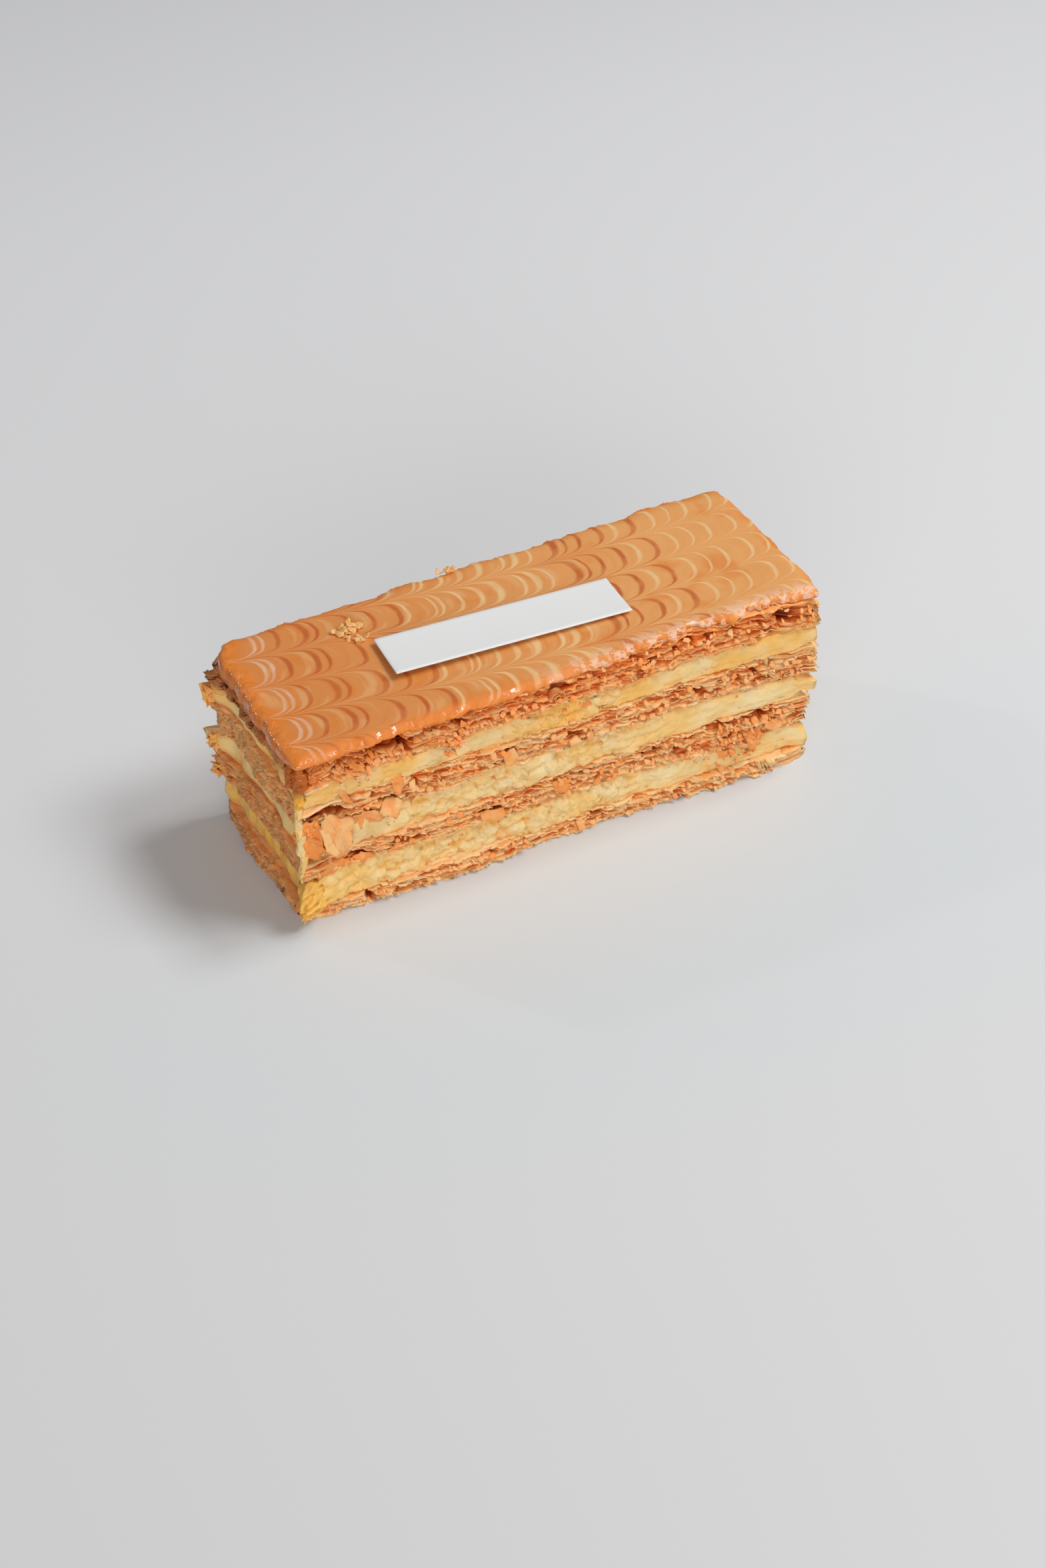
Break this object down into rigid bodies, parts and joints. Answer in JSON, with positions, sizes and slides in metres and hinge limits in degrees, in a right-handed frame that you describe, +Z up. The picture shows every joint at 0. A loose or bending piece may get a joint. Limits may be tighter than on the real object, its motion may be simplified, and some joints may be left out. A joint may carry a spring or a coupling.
{
  "type": "mille feuille slice",
  "caption": "Oblong slice of layered puff pastry and custard with a feathered glazed icing on top and a small blank card.",
  "frame": {"origin": "on the surface that the slice stands on, under the middle of the block", "axes": "+X along the slice from its left end to its right end, +Y from the front cut to the back cut, +Z up"},
  "size_m": [0.1263, 0.0463, 0.0464],
  "materials": {
    "pastry": "dry, flaky baked pastry",
    "custard": "moist set custard",
    "icing": "shiny poured glaze",
    "card": "smooth white card"
  },
  "bodies": {
    "root": {"pastry_1": "pastry", "pastry_2": "pastry", "pastry_3": "pastry", "pastry_4": "pastry", "custard_1": "custard", "custard_2": "custard", "custard_3": "custard", "icing": "icing", "card": "card"}
  },
  "joints": []
}
